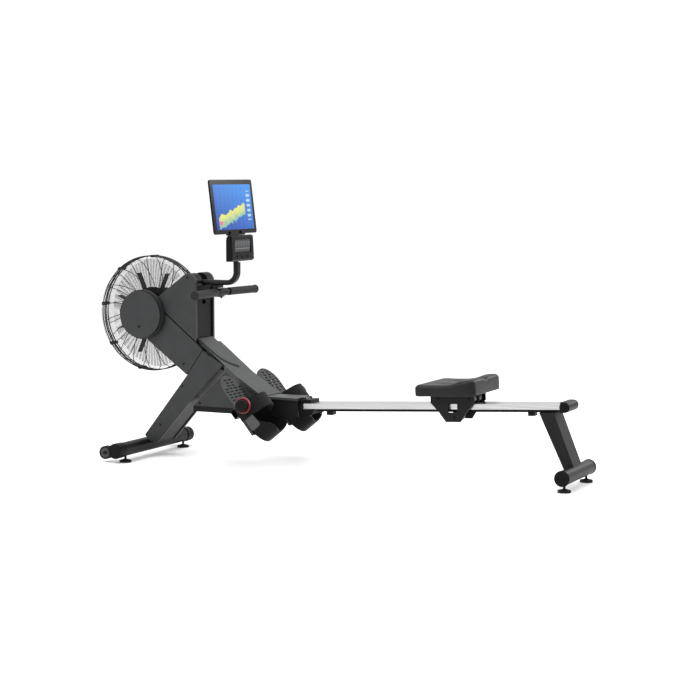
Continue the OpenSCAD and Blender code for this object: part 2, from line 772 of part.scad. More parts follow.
module carriage_plates() color("#26272a") site() on_carriage() both_sides() difference() {
    slab([for (i = [len(carriage_outline) - 1 : -1 : 0]) carriage_outline[i]], side_plate_y, side_plate_y + 4);
    box(-19, 20, side_plate_y - 1, side_plate_y + 5, -33, 4);
    for (x = [-axle_reach, axle_reach]) rod(x, upper_axle_n, 4 + run, side_plate_y - 1, side_plate_y + 5);
    rod(0, lower_axle_n, 4 + run, side_plate_y - 1, side_plate_y + 5);
}

module axle_bolt(x, n) {
    rod(x, n, 4, -side_plate_y - 4, side_plate_y + 4);
    both_sides() rod(x, n, 7, side_plate_y + 4.1, side_plate_y + 9);
}

module carriage_axles() color("#8d9094") site() on_carriage() {
    axle_bolt(-axle_reach, upper_axle_n);
    axle_bolt(axle_reach, upper_axle_n);
    axle_bolt(0, lower_axle_n);
}

module roller(x, n, y0, y1) difference() {
    rod(x, n, roller_d / 2, y0, y1);
    rod(x, n, 4 + run, y0 - 1, y1 + 1);
}

module rollers_front() color("#55585c") site() on_carriage() both_sides() roller(-axle_reach, upper_axle_n, 16, 42);

module rollers_rear() color("#55585c") site() on_carriage() both_sides() roller(axle_reach, upper_axle_n, 16, 42);

module roller_lower() color("#55585c") site() on_carriage() roller(0, lower_axle_n, -22, 22);

// ---------- screws ----------

screw_spots = [[198, 418], [190, 321], [321, 462], [77, 147], [219, 790]];

module cover_screws() color("#0f1011") site() {
    both_sides() for (p = screw_spots) rod(p[0], p[1], 4.5, skin + 0.1, skin + 2.2);
    both_sides() rod(271, 250, 4.5, 70.1, 72);
    both_sides() rod(-3, hub_z - 52, 4.5, skin + 35.1, skin + 37);
}

main_frame();
front_tube();
front_caps();
wheel_bolts();
leg_covers();
arm_covers();
upper_covers();
gusset_covers();
hub_covers();
upright_cover();
top_cap();
spine_cover();
neck_plate();
cage_halves();
fan_axle();
console_arm();
footplates();
foot_straps();
cover_screws();
fan_wheel();
fan_bearings();
clutch_pulley();
drive_belt();
strap_spool();
guide_roller();
pivot_pins();
handle_bar();
handle_grips();
handle_clamp();
pull_strap();
strap_knob_left();
strap_knob_right();
transport_wheel_left();
transport_wheel_right();
front_foot_left();
front_foot_right();
rear_foot_left();
rear_foot_right();
rail();
rail_channel();
rail_socket();
rail_end_cap();
rear_support();
rear_caps();
seat_pad();
seat_base();
carriage_plates();
carriage_axles();
rollers_front();
rollers_rear();
roller_lower();
heel_cup_left();
heel_cup_right();
console_body();
console_screen();
button_left();
button_middle();
button_right();
tablet();
tablet_holder();
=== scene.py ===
# %% [markdown]
# # An air rowing machine
# The machine has a fan in a wire cage, a covered steel frame, a rail that folds up, a rolling seat,
# footrests, a pull handle and a console with a large display above it.
# The engineering model is loaded first and never changed. This file gives each of its parts a finish,
# and adds the pieces that carry fine detail: the cage wires, the seat, the screens and the straps.

# %% Load the fixed frame
from math import cos, exp, pi, radians, sin

import bmesh
import bpy
from mathutils import Matrix, Vector


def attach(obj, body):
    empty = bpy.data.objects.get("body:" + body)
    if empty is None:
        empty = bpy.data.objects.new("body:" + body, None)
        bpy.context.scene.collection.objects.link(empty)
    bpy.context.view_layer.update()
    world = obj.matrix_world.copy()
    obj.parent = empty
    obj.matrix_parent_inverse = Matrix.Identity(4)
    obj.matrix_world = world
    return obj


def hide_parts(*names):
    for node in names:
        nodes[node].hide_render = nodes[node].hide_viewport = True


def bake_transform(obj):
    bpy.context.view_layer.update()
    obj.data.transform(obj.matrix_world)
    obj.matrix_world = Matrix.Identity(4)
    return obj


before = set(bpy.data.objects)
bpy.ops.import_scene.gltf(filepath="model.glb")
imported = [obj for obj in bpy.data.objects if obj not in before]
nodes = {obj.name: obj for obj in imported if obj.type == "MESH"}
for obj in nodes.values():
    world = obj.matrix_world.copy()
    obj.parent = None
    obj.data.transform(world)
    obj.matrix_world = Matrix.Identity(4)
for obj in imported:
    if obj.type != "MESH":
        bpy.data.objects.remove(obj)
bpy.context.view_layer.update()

# %% [markdown]
# ## Camera, light and floor
# A product shot on white needs light from every side, so the machine's dark shells keep their form
# only through soft gradients. A bright sky gives the fill, one large lamp from the front left gives
# the direction, and a second one from behind draws an edge on the tubes. The floor is a plain pale
# sheet that is bright enough to merge with the sky and still take a contact shadow.

# %% Camera
MID_X = 860.75   # mm from the front feet to the middle of the machine


def mm(x, y, z):
    """A point measured in millimetres from the front feet, in the frame's metres."""
    return Vector(((x - MID_X) / 1000, y / 1000, z / 1000))


camera = bpy.data.objects.new("camera", bpy.data.cameras.new("camera"))
camera.location = mm(4206.0, -6741.2, 1225.8)
camera.rotation_euler = (radians(90 - 5.52), 0, radians(25.75))
camera.data.lens = 93.05
camera.data.sensor_width = 36
bpy.context.scene.collection.objects.link(camera)
bpy.context.scene.camera = camera
print("camera at", tuple(round(c, 3) for c in camera.location))


# %% Sky and lamps
world = bpy.data.worlds.new("studio")
bpy.context.scene.world = world
world.use_nodes = True
sky = world.node_tree.nodes["Background"]
sky.inputs["Color"].default_value = (1, 1, 1, 1)
sky.inputs["Strength"].default_value = 1.08


def lamp(name, place, aim, size, power):
    """A square lamp at a place, turned towards a point."""
    data = bpy.data.lights.new(name, "AREA")
    data.size, data.energy = size, power
    piece = bpy.data.objects.new(name, data)
    piece.location = place
    piece.rotation_euler = (Vector(aim) - Vector(place)).to_track_quat("-Z", "Y").to_euler()
    bpy.context.scene.collection.objects.link(piece)


lamp("key", (-1.6, -3.6, 3.4), (-0.3, 0, 0.4), 2.4, 120)
lamp("rim", (2.2, 3.2, 2.6), (0, 0, 0.3), 2.0, 70)
lamp("top", (0.0, 0.0, 4.0), (0, 0, 0.3), 3.0, 60)

# %% [markdown]
# ## Small tools for finishes
# Every finish below is a small network of nodes. `add` puts in one node, sets its options and sockets,
# and links what is already there. `linear` turns a hex colour, as a paint chart gives it, into the
# linear numbers that the renderer works with. The others join nodes that every finish needs.

# %% Colour and node helpers


def linear(code):
    """An sRGB hex colour such as '4b4c4e' as linear red, green, blue and alpha."""
    parts = [int(code[i:i + 2], 16) / 255 for i in (0, 2, 4)]
    return tuple(c / 12.92 if c <= 0.04045 else ((c + 0.055) / 1.055) ** 2.4 for c in parts) + (1.0,)


def add(tree, kind, sockets=None, **options):
    """Adds a node, sets its options, and sets or links its sockets."""
    node = tree.nodes.new(kind)
    for key, value in options.items():
        setattr(node, key, value)
    for key, value in (sockets or {}).items():
        if isinstance(value, bpy.types.NodeSocket):
            tree.links.new(value, node.inputs[key])
        else:
            node.inputs[key].default_value = value
    return node


def new_material(name, **sockets):
    """A material with one Principled shader, its sockets set by name with spaces as underscores."""
    material = bpy.data.materials.new(name)
    material.use_nodes = True
    shader = material.node_tree.nodes["Principled BSDF"]
    for key, value in sockets.items():
        shader.inputs[key.replace("_", " ")].default_value = value
    return material, material.node_tree, shader


def own_place(tree):
    """The piece's own coordinates in metres."""
    return add(tree, "ShaderNodeTexCoord").outputs["Object"]


def grain(tree, size_mm, stretch=(1, 1, 1), detail=3.0):
    """Noise whose grains are about size_mm across, on the piece's own coordinates."""
    scaled = add(tree, "ShaderNodeMapping", {"Vector": own_place(tree), "Scale": stretch})
    return add(tree, "ShaderNodeTexNoise", {"Vector": scaled.outputs["Vector"], "Scale": 1000 / size_mm,
                                            "Detail": detail, "Roughness": 0.55})


def ramp(tree, value, dark, light, low=0.0, high=1.0):
    """A colour that goes from dark to light while a value goes from low to high."""
    node = add(tree, "ShaderNodeValToRGB", {"Fac": value})
    for element, position, code in zip(node.color_ramp.elements, (low, high), (dark, light)):
        element.position, element.color = position, linear(code)
    return node.outputs["Color"]


def tint(tree, shader, noise, dark, light):
    """Colours the shader between two near colours by a noise."""
    colour = ramp(tree, noise.outputs["Fac"], dark, light, 0.35, 0.65)
    tree.links.new(colour, shader.inputs["Base Color"])


def roughen(tree, shader, noise, low, high):
    """Lets the roughness wander between two values by a noise."""
    spread = add(tree, "ShaderNodeMapRange",
                 {"Value": noise.outputs["Fac"], "To Min": low, "To Max": high})
    tree.links.new(spread.outputs["Result"], shader.inputs["Roughness"])


def emboss(tree, shader, height, strength, distance_mm):
    """Bumps the shader by a height socket."""
    bump = add(tree, "ShaderNodeBump",
               {"Height": height, "Strength": strength, "Distance": distance_mm / 1000})
    tree.links.new(bump.outputs["Normal"], shader.inputs["Normal"])


print("helpers ready")

# %% [markdown]
# ## Finishes
# Most of the machine is moulded ABS and powder-coated steel, both nearly black. What tells them apart
# is the surface: a moulded shell has a fine spark-eroded grain and scatters light widely, powder coat
# has a slight orange peel and a tighter gloss, and rubber is the dullest. Each finish below starts from
# that difference.

# %% Moulded shells
# Grained ABS, injection moulded: a wide soft sheen that turns the dark grey lighter towards the lamps.
shell_abs, t, sh = new_material("grained_abs_shell", IOR=1.53, Specular_IOR_Level=0.32)
tint(t, sh, grain(t, 60), "1b1c1d", "212223")
roughen(t, sh, grain(t, 25), 0.42, 0.52)
emboss(t, sh, grain(t, 1.6).outputs["Fac"], 0.25, 0.25)

# The spine and the neck are the same ABS in a lighter grey.
spine_abs, t, sh = new_material("grained_abs_spine", IOR=1.53, Specular_IOR_Level=0.36)
tint(t, sh, grain(t, 60), "2b2c2d", "313233")
roughen(t, sh, grain(t, 25), 0.38, 0.48)
emboss(t, sh, grain(t, 1.6).outputs["Fac"], 0.25, 0.25)

# Black ABS trim, moulded in a smoother tool, so its highlights are narrower.
trim_abs, t, sh = new_material("black_abs_trim", IOR=1.53, Specular_IOR_Level=0.08)
tint(t, sh, grain(t, 40), "08080a", "0c0c0d")
roughen(t, sh, grain(t, 18), 0.34, 0.46)
emboss(t, sh, grain(t, 1.2).outputs["Fac"], 0.18, 0.2)
print("three shells")

# %% Painted and bare metal
# Powder-coated steel: orange peel a few millimetres across under a satin gloss.
powder_coat, t, sh = new_material("black_powder_coated_steel", IOR=1.5, Specular_IOR_Level=0.12,
                                  Coat_Weight=0.03, Coat_Roughness=0.25)
tint(t, sh, grain(t, 80), "101011", "151516")
roughen(t, sh, grain(t, 30), 0.36, 0.46)
emboss(t, sh, grain(t, 3.5).outputs["Fac"], 0.2, 0.3)

# Dip-coated wire: thicker and glossier than powder.
wire_coat, t, sh = new_material("dip_coated_wire", IOR=1.5, Roughness=0.36, Specular_IOR_Level=0.25)
tint(t, sh, grain(t, 20), "0e0e0f", "151516")
emboss(t, sh, grain(t, 4).outputs["Fac"], 0.1, 0.1)

# Anodised aluminium extrusion: long drawn lines along the rail, light grey and slightly blurred.
rail_metal, t, sh = new_material("anodised_aluminium", Metallic=1.0)
lines = grain(t, 3.0, (0.01, 1, 1), 2.0)
tint(t, sh, lines, "a9a9a9", "bdbdbd")
roughen(t, sh, lines, 0.24, 0.38)
emboss(t, sh, lines.outputs["Fac"], 0.12, 0.08)

# Zinc-plated steel for the fan's axle and bearings, the pulley, the spool and the guide roller: bright,
# with turning marks.
zinc, t, sh = new_material("zinc_plated_steel", Metallic=1.0)
marks = grain(t, 4, (1, 0.2, 1))
tint(t, sh, marks, "8f9296", "a9acb0")
roughen(t, sh, marks, 0.25, 0.4)
emboss(t, sh, marks.outputs["Fac"], 0.1, 0.05)

# Black oxide on the screws, the wheel bolts, the pivot pins and the seat's axle bolts: a matt black.
oxide, t, sh = new_material("black_oxide_steel", Metallic=0.7)
tint(t, sh, grain(t, 3), "0d0d0e", "17171a")
roughen(t, sh, grain(t, 3), 0.4, 0.6)
print("five metals")

# %% Rubber, foam, webbing and plastics
# Vulcanised rubber for feet, belt and tyres: dull, with a dusty bloom.
rubber, t, sh = new_material("vulcanised_rubber", IOR=1.52, Specular_IOR_Level=0.2)
tint(t, sh, grain(t, 30), "0a0a0b", "101011")
roughen(t, sh, grain(t, 12), 0.6, 0.78)
emboss(t, sh, grain(t, 2).outputs["Fac"], 0.2, 0.15)

# Extruded grip foam: a fine pore that breaks up the highlight along the handle.
grip_foam, t, sh = new_material("extruded_grip_foam", IOR=1.45, Specular_IOR_Level=0.25)
tint(t, sh, grain(t, 20), "0e0e0f", "161617")
roughen(t, sh, grain(t, 8), 0.5, 0.68)
pores = add(t, "ShaderNodeTexVoronoi", {"Vector": own_place(t), "Scale": 450.0})
emboss(t, sh, pores.outputs["Distance"], 0.35, 0.5)

# Integral-skin polyurethane for the seat: a leathery grain of about 2 mm over soft forms.
seat_skin, t, sh = new_material("integral_skin_foam", IOR=1.48, Specular_IOR_Level=0.2)
tint(t, sh, grain(t, 70), "0f0f10", "161617")
roughen(t, sh, grain(t, 30), 0.36, 0.5)
cells = add(t, "ShaderNodeTexVoronoi", {"Vector": own_place(t), "Scale": 420.0}, feature="SMOOTH_F1")
emboss(t, sh, cells.outputs["Distance"], 0.3, 0.5)

# Polyester webbing: slanting ribs about 2 mm apart, drawn coarse enough to be seen.
webbing, t, sh = new_material("polyester_webbing", IOR=1.5, Roughness=0.85, Specular_IOR_Level=0.15,
                              Sheen_Weight=0.05)
rib = add(t, "ShaderNodeTexWave", {"Vector": own_place(t), "Scale": 160.0, "Distortion": 0.6},
          bands_direction="DIAGONAL")
t.links.new(ramp(t, rib.outputs["Fac"], "060607", "101011"), sh.inputs["Base Color"])
emboss(t, sh, rib.outputs["Fac"], 0.5, 0.4)

# Nylon footplates: glass-filled, so the surface is mottled, and a shade lighter than the shells.
plate_nylon, t, sh = new_material("glass_filled_nylon", IOR=1.53, Specular_IOR_Level=0.25)
tint(t, sh, grain(t, 9), "1c1d1e", "262728")
roughen(t, sh, grain(t, 6), 0.5, 0.62)
emboss(t, sh, grain(t, 1.5).outputs["Fac"], 0.3, 0.2)

# Cast polyurethane rollers: grey and slightly waxy.
roller_pu, t, sh = new_material("cast_polyurethane", IOR=1.49, Subsurface_Weight=0.05)
tint(t, sh, grain(t, 12), "2c2d2f", "363739")
roughen(t, sh, grain(t, 6), 0.35, 0.5)

# Moulded red ABS ring of the strap knobs.
red_abs, t, sh = new_material("red_abs", IOR=1.53, Specular_IOR_Level=0.5)
tint(t, sh, grain(t, 10), "6a111b", "7d1a25")
roughen(t, sh, grain(t, 6), 0.3, 0.42)

# Dark grey ABS for the wheel hubs. The same grey on the heel cups' flat outer sides is a painted highlight.
grey_abs_and_painted_highlight, t, sh = new_material("dark_grey_abs_and_painted_highlight", IOR=1.53, Specular_IOR_Level=0.5)
tint(t, sh, grain(t, 14), "262728", "2e2f30")
roughen(t, sh, grain(t, 8), 0.4, 0.5)
print("eight more finishes")

# %% [markdown]
# ## Glass that shows a picture
# A display is a black glass front with a lit picture behind it. The picture here is drawn by the material
# itself from the piece's UV map: a blue ground, faint upright lines, a filled curve that climbs, a round
# mark and a column of small bars. The ground grows lighter towards the top and right: partly the picture's
# own colour and partly a painted reflection of the glass. The words and marks that a real screen has are left
# out.

# %% The large display's picture


def math(tree, how, a, b=0.0, c=0.0, clamp=False):
    """One step of arithmetic as a node."""
    return add(tree, "ShaderNodeMath", {0: a, 1: b, 2: c}, operation=how, use_clamp=clamp).outputs[0]


def layer(tree, below, above, mask):
    """Paints a colour over another where the mask is one."""
    mix = add(tree, "ShaderNodeMix", data_type="RGBA")
    for socket, value in ((mix.inputs[0], mask), (mix.inputs[6], below), (mix.inputs[7], above)):
        if isinstance(value, bpy.types.NodeSocket):
            tree.links.new(value, socket)
        else:
            socket.default_value = value
    return mix.outputs[2]


def between(tree, value, low, high):
    """One where a value lies between two limits, else zero."""
    return math(tree, "MULTIPLY", math(tree, "GREATER_THAN", value, low),
                math(tree, "LESS_THAN", value, high))


def stripes(tree, value, count, edge):
    """One in the last part of each of `count` equal steps of a value, from the share `edge` on."""
    return math(tree, "GREATER_THAN", math(tree, "FRACT", math(tree, "MULTIPLY", value, count)), edge)


def uv_axes(tree):
    """The piece's UV map, and its two coordinates by themselves."""
    uv = add(tree, "ShaderNodeUVMap").outputs["UV"]
    split = add(tree, "ShaderNodeSeparateXYZ", {"Vector": uv})
    return uv, split.outputs["X"], split.outputs["Y"]


picture, t, sh = new_material("lit_display_picture", IOR=1.5, Roughness=0.3, Specular_IOR_Level=0.15,
                              Base_Color=(0.004, 0.006, 0.012, 1), Emission_Strength=1.0)
uv, u, v = uv_axes(t)
# The ground's lighter top and right are partly the picture's own and partly a painted reflection of the glass.
height = math(t, "ADD", math(t, "MULTIPLY", u, 0.35), math(t, "MULTIPLY", v, 0.6))
ground = ramp(t, height, "0a2c9c", "2a93f0")
wobble = add(t, "ShaderNodeTexNoise", {"Vector": uv, "Scale": 9.0, "Detail": 1.0})
rise = math(t, "ADD", math(t, "MULTIPLY_ADD", math(t, "SMOOTH_MAX", u, 0.12, 0.1), 0.42, 0.24),
            math(t, "MULTIPLY", math(t, "SUBTRACT", wobble.outputs["Fac"], 0.5), 0.22))
inside = between(t, u, 0.08, 0.80)
fill = math(t, "MULTIPLY", inside, between(t, math(t, "SUBTRACT", rise, v), 0.0, 0.26))
fade = math(t, "SUBTRACT", 1.0, math(t, "MULTIPLY", math(t, "SUBTRACT", rise, v), 3.2), clamp=True)
lines = math(t, "MULTIPLY", stripes(t, u, 9.0, 0.93), 0.35)
bars = math(t, "MULTIPLY", between(t, u, 0.86, 0.95),
            math(t, "MULTIPLY", between(t, v, 0.2, 0.85), stripes(t, v, 9.0, 0.5)))
reach = add(t, "ShaderNodeVectorMath", {0: uv, 1: (0.13, 0.15, 0.0)}, operation="DISTANCE")
dot = math(t, "LESS_THAN", reach.outputs["Value"], 0.045)
colour = layer(t, ground, linear("4fb2f0"), lines)
colour = layer(t, colour, linear("4fb8b0"), math(t, "MULTIPLY", fill, 0.8))
colour = layer(t, colour, linear("f0e860"), math(t, "MULTIPLY", fill, fade))
colour = layer(t, colour, linear("cfe6fb"), math(t, "MULTIPLY", bars, 0.8))
colour = layer(t, colour, linear("e26d9a"), dot)
t.links.new(colour, sh.inputs["Emission Color"])

# Unlit display glass, for the borders: black, smooth and clean.
dark_glass, t, sh = new_material("black_display_glass", IOR=1.5, Specular_IOR_Level=0.12,
                                 Base_Color=linear("050506"))
roughen(t, sh, grain(t, 40), 0.14, 0.22)

# Grey liquid crystal behind a window, with a row of generic segments.
crystal, t, sh = new_material("grey_liquid_crystal", IOR=1.5, Roughness=0.18)
uv, u, v = uv_axes(t)
cell = math(t, "FRACT", math(t, "MULTIPLY", u, 6.0))
digit = math(t, "MULTIPLY", between(t, cell, 0.25, 0.75), between(t, v, 0.5, 0.85))
hollow = math(t, "MULTIPLY", between(t, cell, 0.36, 0.64), between(t, v, 0.57, 0.66))
line = between(t, v, 0.22, 0.30)
colour = layer(t, linear("15171a"), linear("4a4e53"), math(t, "SUBTRACT", digit, hollow, clamp=True))
colour = layer(t, colour, linear("5a5d61"), math(t, "MULTIPLY", line, between(t, u, 0.06, 0.94)))
t.links.new(colour, sh.inputs["Base Color"])
print("three kinds of glass")

# %% [markdown]
# ## Dressing the engineering parts
# The parts whose shape is already right keep it and only take a finish. Parts that share a finish
# are listed together, in the way a paint shop would sort them.

# %% Give every part its finish
dress = {
    shell_abs: "leg_covers arm_covers upper_covers gusset_covers hub_covers",
    spine_abs: "spine_cover neck_plate",
    trim_abs: "front_caps upright_cover top_cap rail_channel rail_socket rail_end_cap rear_caps seat_base "
              "heel_cup_left heel_cup_right console_body tablet_holder handle_clamp fan_wheel "
              "button_left button_middle button_right",
    powder_coat: "main_frame front_tube rear_support console_arm carriage_plates handle_bar",
    wire_coat: "cage_halves",
    rail_metal: "rail",
    zinc: "fan_axle fan_bearings clutch_pulley strap_spool guide_roller",
    oxide: "cover_screws wheel_bolts pivot_pins carriage_axles",
    rubber: "front_foot_left front_foot_right rear_foot_left rear_foot_right drive_belt transport_wheel_left "
            "transport_wheel_right",
    grip_foam: "handle_grips",
    seat_skin: "seat_pad",
    webbing: "foot_straps pull_strap",
    plate_nylon: "footplates",
    roller_pu: "rollers_front rollers_rear roller_lower",
    red_abs: "strap_knob_left strap_knob_right",
    dark_glass: "tablet console_screen",
}
for material, names in dress.items():
    for name in names.split():
        for slot in nodes[name].material_slots:
            slot.material = material
print(sum(len(names.split()) for names in dress.values()), "parts dressed")

# %% [markdown]
# ## Making pieces
# Each added piece is a mesh in place, with its object at the origin. `piece` makes one from points and
# faces, `sweep` draws a band along a path by carrying a small outline along it, and `turned` makes a
# round piece as a lathe would.

# %% Mesh helpers
ROUND = 64   # points on each ring of a turned piece


def piece(name, points, faces, material, body, smooth=True):
    """A closed mesh in place, with its normals outwards, that rides on a body if one is named."""
    mesh = bpy.data.meshes.new(name)
    mesh.from_pydata([tuple(p) for p in points], [], faces)
    tool = bmesh.new()
    tool.from_mesh(mesh)
    bmesh.ops.remove_doubles(tool, verts=tool.verts, dist=1e-6)
    bmesh.ops.recalc_face_normals(tool, faces=tool.faces)
    tool.to_mesh(mesh)
    tool.free()
    made = bpy.data.objects.new(name, mesh)
    bpy.context.scene.collection.objects.link(made)
    mesh.materials.append(material)
    if smooth:
        for face in mesh.polygons:
            face.use_smooth = True
    if body:
        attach(made, body)
    return made


def finish_mesh(made):
    """Turns a piece's modifiers into plain mesh."""
    bpy.context.view_layer.update()
    result = bpy.data.meshes.new_from_object(made.evaluated_get(bpy.context.evaluated_depsgraph_get()))
    made.modifiers.clear()
    made.data = result
    return made


def bevelled(made, width_mm):
    """Rounds a piece's sharp edges in two steps."""
    bevel = made.modifiers.new("edge", "BEVEL")
    bevel.width, bevel.segments = width_mm / 1000, 2
    bevel.limit_method, bevel.angle_limit = "ANGLE", radians(35)
    return finish_mesh(made)


def tube_faces(rings, count):
    """Faces between neighbouring rings of `count` points, and one over each end."""
    faces = []
    for i in range(rings - 1):
        for j in range(count):
            k = (j + 1) % count
            faces.append((i * count + j, i * count + k, (i + 1) * count + k, (i + 1) * count + j))
    last = (rings - 1) * count
    return faces + [tuple(range(count)), tuple(range(last, last + count))]


def sweep(path, outline, across):
    """Points and faces of an outline (in mm, sideways and upwards) carried along a path."""
    points = []
    for i, p in enumerate(path):
        ahead = (path[min(i + 1, len(path) - 1)] - path[max(i - 1, 0)]).normalized()
        side = Vector(across)
        side = (side - ahead * side.dot(ahead)).normalized()
        up = ahead.cross(side).normalized()
        points += [p + side * a / 1000 + up * b / 1000 for a, b in outline]
    return points, tube_faces(len(path), len(outline))


def turned(name, x, z, rings, material, body):
    """A turned piece about a line along Y, from a list of (y, radius) in mm, closed at both ends."""
    angles = [2 * pi * i / ROUND for i in range(ROUND)]
    points = [mm(x + radius * cos(a), y, z + radius * sin(a)) for y, radius in rings for a in angles]
    return piece(name, points, tube_faces(len(rings), ROUND), material, body, smooth=False)


print("mesh helpers ready")

# %% [markdown]
# ## The wire cage
# A fan cage is welded from fine rings around the axle, carried by a few ribs from hub to rim. That is
# a rule, so Geometry Nodes makes it: one rib and one ring are repeated, what would run through the
# shell is taken away, and every curve gets a round section at the end. The other half is its mirror
# image. The ribs lean a little sideways, so those of the two halves cross each other.

# %% Profile of one rib
HUB_Z = 626     # mm from the floor to the fan's axle
CAGE_R = 250    # mm from the axle to the rim
INNER_R = 100   # mm from the axle to the inner end of a rib
LEAN = 0.22     # how far a rib turns about the axle between hub and rim, in radians


def cage_profile():
    """Radius and depth of a rib in mm, from the hub ring out over the rim."""
    flat = [(INNER_R + i * 12.5, 49 + 2.0 * sin(pi * i / 10)) for i in range(11)]
    bend = [(232, 45), (239, 40), (244.5, 33), (248, 25), (CAGE_R - 0.8, 16)]
    return flat + bend


profile_mesh = bpy.data.meshes.new("cage_profile")
rows = cage_profile()
leans = [LEAN * (r - INNER_R) / (CAGE_R - INNER_R) for r, d in rows]
profile_mesh.from_pydata([(r / 1000 * cos(a), r / 1000 * sin(a), d / 1000) for (r, d), a in zip(rows, leans)],
                         [(i, i + 1) for i in range(len(rows) - 1)], [])
profile = bpy.data.objects.new("cage_profile", profile_mesh)
print(len(rows), "points on a rib")

# %% The cage's node tree
FINE_DEPTH = 0.0495   # metres from the cage's middle plane to the fine rings
FINE_START = 0.104    # metres from the axle to the first of them
RIM_ARC = (45, 305)   # degrees about the axle where the rim begins and ends outside the shell
RIM_DEPTHS = (20, 5)  # mm from the middle plane to the two rim wires of each half


def new_tree(name, inputs):
    """A geometry tree, the sockets that give its inputs, and its last node."""
    tree = bpy.data.node_groups.new(name, "GeometryNodeTree")
    for label, kind in (("Geometry", "Geometry"), *inputs):
        tree.interface.new_socket(label, in_out="INPUT", socket_type="NodeSocket" + kind)
    tree.interface.new_socket("Geometry", in_out="OUTPUT", socket_type="NodeSocketGeometry")
    return tree, add(tree, "NodeGroupInput").outputs, add(tree, "NodeGroupOutput")


def round_wire(tree, curve, radius, sides):
    """Gives a curve a round section with closed ends."""
    section = add(tree, "GeometryNodeCurvePrimitiveCircle", {"Resolution": sides, "Radius": radius})
    return add(tree, "GeometryNodeCurveToMesh", {"Curve": curve, "Profile Curve": section.outputs["Curve"],
                                                 "Fill Caps": True}).outputs["Mesh"]


def without(tree, geometry, chosen):
    """The geometry without its chosen points."""
    return add(tree, "GeometryNodeDeleteGeometry", {"Geometry": geometry, "Selection": chosen},
               domain="POINT").outputs[0]


def cage_tree():
    """One half of the cage. `Count` ribs follow the profile with the wire radius. `Rings` fine rings, a
    ring step apart, have the fine radius. Two rim wires have the ring radius."""
    tree, given, end = new_tree("cage_wires", (
        ("Profile", "Object"), ("Count", "Int"), ("Wire radius", "Float"), ("Ring radius", "Float"),
        ("Rings", "Int"), ("Ring step", "Float"), ("Fine radius", "Float"), ("Material", "Material")))
    shape = add(tree, "GeometryNodeObjectInfo", {"Object": given["Profile"]})
    wire = add(tree, "GeometryNodeMeshToCurve", {"Mesh": shape.outputs["Geometry"]})
    circle = add(tree, "GeometryNodeMeshCircle", {"Vertices": given["Count"], "Radius": 0.0001})
    number = add(tree, "GeometryNodeInputIndex").outputs[0]
    angle = math(tree, "MULTIPLY", number, math(tree, "DIVIDE", 2 * pi, given["Count"]))
    turn = add(tree, "ShaderNodeCombineXYZ", {"Z": angle})
    spread = add(tree, "GeometryNodeInstanceOnPoints", {"Points": circle.outputs["Mesh"],
                                                        "Instance": wire.outputs["Curve"],
                                                        "Rotation": turn.outputs["Vector"]})
    loose = add(tree, "GeometryNodeRealizeInstances", {"Geometry": spread.outputs["Instances"]})
    # A point runs through the shell where it lies past both lines, given in mm from the axle, that bound
    # the arm and the upright.
    here = add(tree, "GeometryNodeInputPosition")
    tests = []
    for a, b in (((60, 66), (178, 176)), ((153, -216), (20, -118))):
        normal = Vector((b[1] - a[1], -(b[0] - a[0]), 0)).normalized()
        reach = add(tree, "ShaderNodeVectorMath", {0: here.outputs[0], 1: tuple(normal)},
                    operation="DOT_PRODUCT")
        limit = normal.x * a[0] / 1000 + normal.y * a[1] / 1000
        tests.append(add(tree, "FunctionNodeCompare", {0: reach.outputs["Value"], 1: limit},
                         data_type="FLOAT", operation="GREATER_THAN").outputs[0])
    both = add(tree, "FunctionNodeBooleanMath", {0: tests[0], 1: tests[1]}, operation="AND").outputs[0]
    ribs = round_wire(tree, without(tree, loose.outputs["Geometry"], both), given["Wire radius"], 5)
    # The fine rings: one circle of radius 1 is put on each point of a row and scaled up to its own radius.
    row = add(tree, "GeometryNodeMeshLine", {"Count": given["Rings"], "Offset": (0, 0, 0),
                                             "Start Location": (0, 0, FINE_DEPTH)})
    grow = math(tree, "MULTIPLY_ADD", number, given["Ring step"], FINE_START)
    size = add(tree, "ShaderNodeCombineXYZ", {"X": grow, "Y": grow, "Z": 1.0})
    unit = add(tree, "GeometryNodeCurvePrimitiveCircle", {"Resolution": 160, "Radius": 1.0})
    circles = add(tree, "GeometryNodeInstanceOnPoints", {"Points": row.outputs["Mesh"],
                                                         "Instance": unit.outputs["Curve"],
                                                         "Scale": size.outputs["Vector"]})
    real = add(tree, "GeometryNodeRealizeInstances", {"Geometry": circles.outputs["Instances"]})
    edges = add(tree, "GeometryNodeCurveToMesh", {"Curve": real.outputs["Geometry"]})
    arcs = add(tree, "GeometryNodeMeshToCurve", {"Mesh": without(tree, edges.outputs["Mesh"], both)})
    wires = round_wire(tree, arcs.outputs["Curve"], given["Fine radius"], 4)
    join = add(tree, "GeometryNodeJoinGeometry", {"Geometry": wires})
    tree.links.new(ribs, join.inputs["Geometry"])
    first, last = RIM_ARC
    for depth in RIM_DEPTHS:
        arc = add(tree, "GeometryNodeCurveArc", {"Resolution": 96, "Radius": (CAGE_R - 0.5) / 1000,
                                                 "Start Angle": radians(first),
                                                 "Sweep Angle": radians(last - first)})
        lift = add(tree, "GeometryNodeTransform", {"Geometry": arc.outputs[0],
                                                   "Translation": (0, 0, depth / 1000)})
        rim = round_wire(tree, lift.outputs[0], given["Ring radius"], 8)
        tree.links.new(rim, join.inputs["Geometry"])
    coat = add(tree, "GeometryNodeSetMaterial", {"Geometry": join.outputs[0], "Material": given["Material"]})
    tree.links.new(coat.outputs[0], end.inputs["Geometry"])
    return tree


tree = cage_tree()
print(len(tree.nodes), "nodes in the cage tree")

# %% Make both halves of the cage


